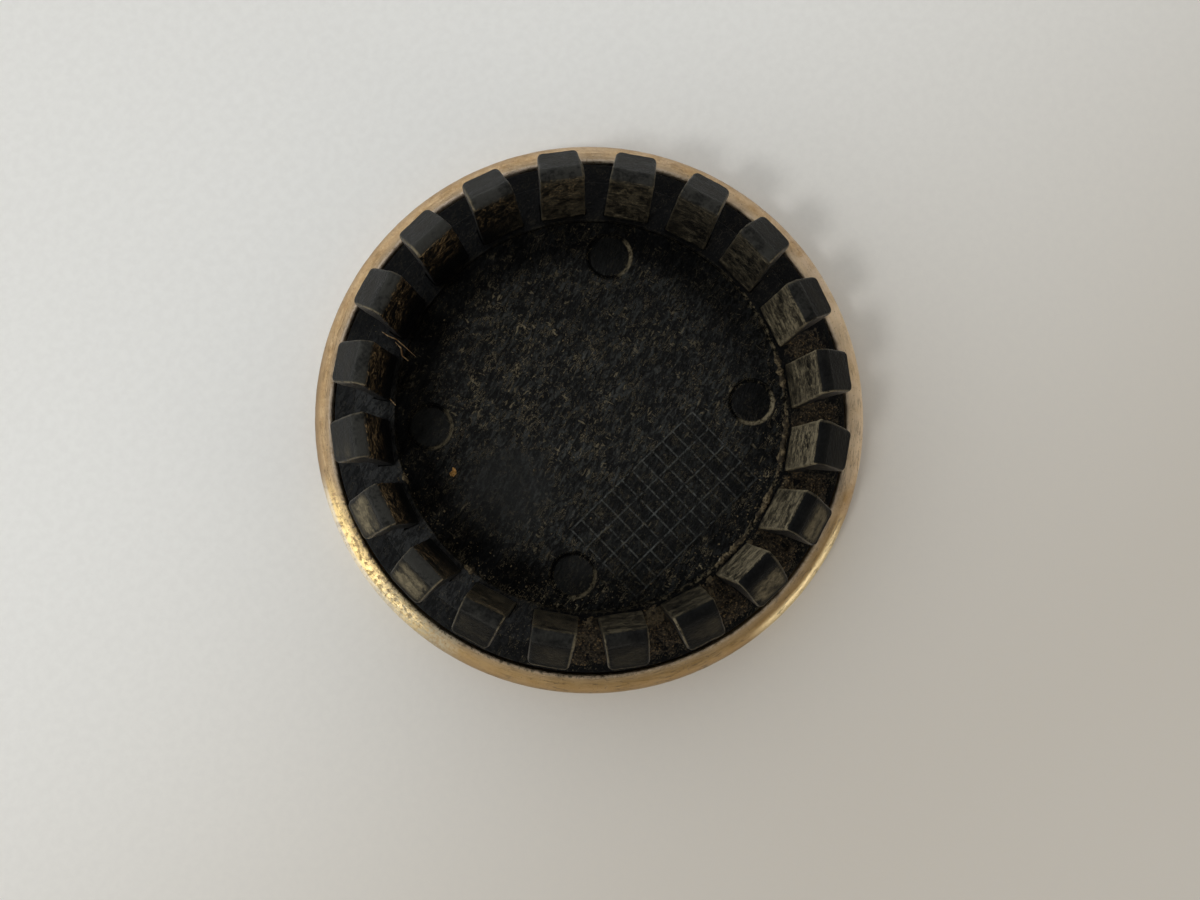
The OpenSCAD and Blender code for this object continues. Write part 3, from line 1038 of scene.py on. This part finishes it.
    shade.tone = shade.mix(blotch, colour(0.0020, 0.0022, 0.0025), colour(0.0038, 0.0041, 0.0044))
    # Lead-ins and top lands are paler: matte wear, plus painted light and painted sheen that grow towards the
    # upper left, and on the tops towards the lower left too.
    upper_left = shade.toward(125, 75, 130)
    uneven = 0.35 + grain.rise(0.42, 0.6) * 0.5 + smudge.rise(0.40, 0.58) * 0.8
    faded_and_lit = lead_in * (0.15 + upper_left * 0.6) * uneven
    shade.lay(faded_and_lit, 0.0145, 0.0142, 0.0128)
    band_fade_and_sheen = 0.1 + upper_left * 0.7 + shade.toward(240, 20, 50) * 0.35
    shade.lay(top_band * band_fade_and_sheen * uneven, 0.031, 0.0308, 0.028)
    shade.lay(film * 0.43, 0.190, 0.201, 0.190)
    outer_flange = flange * r.rise(LEDGE_R - 0.2, LEDGE_R + 0.2)
    # The flange is paler grey towards the lower left, less so on its outer part.
    flange_paling = shade.toward(208, 30, 55) * (0.15 + crease.rise(0.42, 0.6) * 0.5 + strokes * 0.5)
    shade.lay(flange_paling * (flange - outer_flange * 0.55), 0.040, 0.042, 0.043)
    shade.lay(dust, 0.225, 0.190, 0.122)
    shade.lay(strands_and_root_shade, 0.265, 0.182, 0.092)
    rough = 0.38 + dust * 0.45 + faded_and_lit * 0.2 - on_floor * 0.06
    relief = on_floor * (wrinkle * 1.6 + crease * 1.3) * (1 - smooth_sheen_patch * 0.8) + grain * 0.5
    relief = relief + (streak * 0.9 + hairs * 0.25) * inner_face + dust * 0.4
    normal = shade.bump(relief, 0.3, 1.0)
    matt_lead_in = lead_in * (0.32 - shade.toward(130, 50, 100) * 0.08)
    shine = 0.34 - matt_lead_in - inner_face * 0.26 - flange * 0.28 - on_floor * (0.22 + painted_wall_shade * 0.09)
    shine = (shine - mark_rim_shade * 0.15 - top_band * 0.32 - outer_flange * 0.03).most(0.02)
    return shade.finish(Roughness=rough, Normal=normal, Specular_IOR_Level=shine)


def dirt_material():
    shade = Surface("dried_dirt")
    grain = shade.noise(shade.place, 3.0, detail=5, roughness=0.7)
    patches = shade.noise(shade.place, 0.9, detail=2)
    shade.tone = shade.mix(grain.rise(0.42, 0.66), colour(0.004, 0.0034, 0.0028), colour(0.046, 0.035, 0.021))
    crust = patches.rise(0.48, 0.6) * (1.1 - shade.r.rise(25.4, 27.4)) * shade.r.rise(23.3, 23.8)
    crust = crust * (0.3 + shade.toward(-60, 50, 80) * 0.7)
    shade.lay(crust * grain.rise(0.3, 0.5) * 0.6, 0.100, 0.078, 0.046)
    specks = shade.noise(shade.place, 4.2, detail=2).rise(0.6, 0.66)
    shade.lay(specks * 0.35, 0.26, 0.17, 0.075)
    return shade.finish(Roughness=0.9, Normal=shade.bump(grain, 0.25, 0.9), Specular_IOR_Level=0.15)


def crumb_material():
    shade = Surface("pale_crumbs")
    grain = shade.noise(shade.place, 4.0, detail=3)
    kind = shade.noise(shade.place, 1.1, detail=2)
    shade.tone = shade.mix(kind.rise(0.42, 0.56), colour(0.035, 0.027, 0.017), colour(0.155, 0.12, 0.068))
    shade.lay(kind.rise(0.66, 0.72), 0.26, 0.235, 0.18)
    shade.lay(grain.rise(0.42, 0.6) * 0.75, 0.02, 0.015, 0.009)
    return shade.finish(Roughness=0.85, Normal=shade.bump(grain, 0.2), Specular_IOR_Level=0.2)


def thread_material():
    shade = Surface("dried_grass")
    grain = shade.noise(shade.place, 2.0, detail=3)
    shade.tone = shade.mix(grain.rise(0.4, 0.6), colour(0.22, 0.12, 0.045), colour(0.46, 0.32, 0.17))
    return shade.finish(Roughness=0.7, Specular_IOR_Level=0.3)


def chip_material():
    shade = Surface("gold_chip")
    grain = shade.noise(shade.place, 5.0, detail=3)
    shade.tone = shade.mix(grain.rise(0.4, 0.6), colour(0.35, 0.17, 0.04), colour(0.72, 0.42, 0.14))
    return shade.finish(Metallic=0.5, Roughness=0.45, Normal=shade.bump(grain, 0.08))


def paper_material():
    shade = Surface("pale_paper")
    cloud = shade.noise(shade.place, 0.012, detail=3)
    grain = shade.noise(shade.place, 0.9, detail=4, roughness=0.6)
    # The paper's tone is painted light: paler towards the upper left, darker and warmer towards the lower
    # right.
    painted_light_way = to_part(-0.64, 0.77, 0)
    painted_light_side = shade.x * painted_light_way.x + shade.y * painted_light_way.y
    shade.tone = shade.mix(painted_light_side.rise(-70, 45), colour(0.62, 0.58, 0.52), colour(0.93, 0.935, 0.92))
    shade.lay(cloud.rise(0.3, 0.7) * 0.06, 0.7, 0.7, 0.7)
    shade.lay(grain.rise(0.3, 0.7) * 0.1, 0.6, 0.59, 0.58)
    return shade.finish(Roughness=0.85, Normal=shade.bump(grain, 0.05, 0.4), Specular_IOR_Level=0.2)


# Studio

FLOOR_HALF = 5000
# Each lamp's photograph angle, elevation, distance and width in metres, power in watts, and tint
LAMPS = {
    "key_lamp": (219, 56.7, 0.45, 0.070, 0.355, (1, 0.985, 0.95)),
    "low_lamp": (329, 20, 0.45, 0.14, 0.09, (1, 0.95, 0.86)),
}
LENS_MM = 27
SENSOR_MM = 36
CAMERA_PLACE = Vector((-1.70, -9.60, 115.43))
CAMERA_FORWARD = Vector((0.0252, 0.0486, -1))


def make_floor(material):
    shell = Shell()
    corners = ((-1, -1), (1, -1), (1, 1), (-1, 1))
    shell.faces.append(tuple(shell.ring([Vector((x * FLOOR_HALF, y * FLOOR_HALF, 0)) for x, y in corners])))
    floor = shell.made("floor")
    floor.data.materials.append(material)


def make_lamp(name, photo_angle, elevation, distance, width, power, tint):
    lamp = bpy.data.lights.new(name, "AREA")
    lamp.shape = "DISK"
    lamp.size = width
    lamp.energy = power
    lamp.color = tint
    piece = placed(name, lamp)
    a, e = math.radians(photo_angle), math.radians(elevation)
    toward = to_part(math.cos(a) * math.cos(e), math.sin(a) * math.cos(e), math.sin(e))
    piece.location = toward * distance
    piece.rotation_mode = "QUATERNION"
    piece.rotation_quaternion = (-toward).to_track_quat("-Z", "Y")


def make_world():
    """A pale room, dark overhead and a little warmer and dimmer towards the photograph's lower right."""
    world = bpy.data.worlds.new("studio")
    world.use_nodes = True
    graph = Graph(world.node_tree)
    background = graph.tree.nodes["Background"]
    direction = graph.node("ShaderNodeTexCoord", out="Generated")

    def along(axis):
        inputs = [direction, tuple(axis)]
        return graph.node("ShaderNodeVectorMath", inputs, out="Value", operation="DOT_PRODUCT")

    side = along(to_part(-0.83, 0.56, 0)).rise(-0.7, 0.8)
    room = graph.mix(side, colour(0.92, 0.855, 0.76), colour(1.49, 1.52, 1.53))
    overhead = along(to_part(0.14, -0.10, 0.985)).rise(math.cos(math.radians(60)), math.cos(math.radians(28)))
    room = graph.mix(overhead, room, colour(0.022, 0.021, 0.02))
    # The camera sees a plain pale backdrop in place of the room
    seen = graph.node("ShaderNodeLightPath", out="Is Camera Ray")
    graph.fill(background.inputs["Color"], graph.mix(seen, room, colour(0.80, 0.80, 0.79)))
    background.inputs["Strength"].default_value = 1.0
    bpy.context.scene.world = world


def make_studio():
    for name, settings in LAMPS.items():
        make_lamp(name, *settings)
    make_world()
    bpy.context.scene.view_settings.view_transform = "Standard"


def make_camera():
    """A wide lens above the cap, a little below its middle in the photograph."""
    lens = bpy.data.cameras.new("camera")
    lens.lens = LENS_MM
    lens.sensor_width = SENSOR_MM
    lens.clip_start = 0.005
    lens.clip_end = 10
    camera = placed("camera", lens)
    forward = CAMERA_FORWARD.normalized()
    right = forward.cross(Vector((0, 1, 0))).normalized()
    axes = Matrix((right, right.cross(forward), -forward)).transposed().to_4x4()
    camera.matrix_world = Matrix.Rotation(PHOTO_TURN, 4, "Z") @ Matrix.Translation(CAMERA_PLACE * MM) @ axes
    bpy.context.scene.camera = camera


def dress(piece, material):
    piece.data.materials.clear()
    piece.data.materials.append(material)
    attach(piece, "root")


make_camera()
make_studio()
make_floor(paper_material())
dress(make_front_cover(), gold_material())
dress(make_clip_body(), black_material())
dress(make_slot_dirt(), dirt_material())
dress(make_crumbs(), crumb_material())
dress(make_threads(), thread_material())
dress(make_chip(), chip_material())
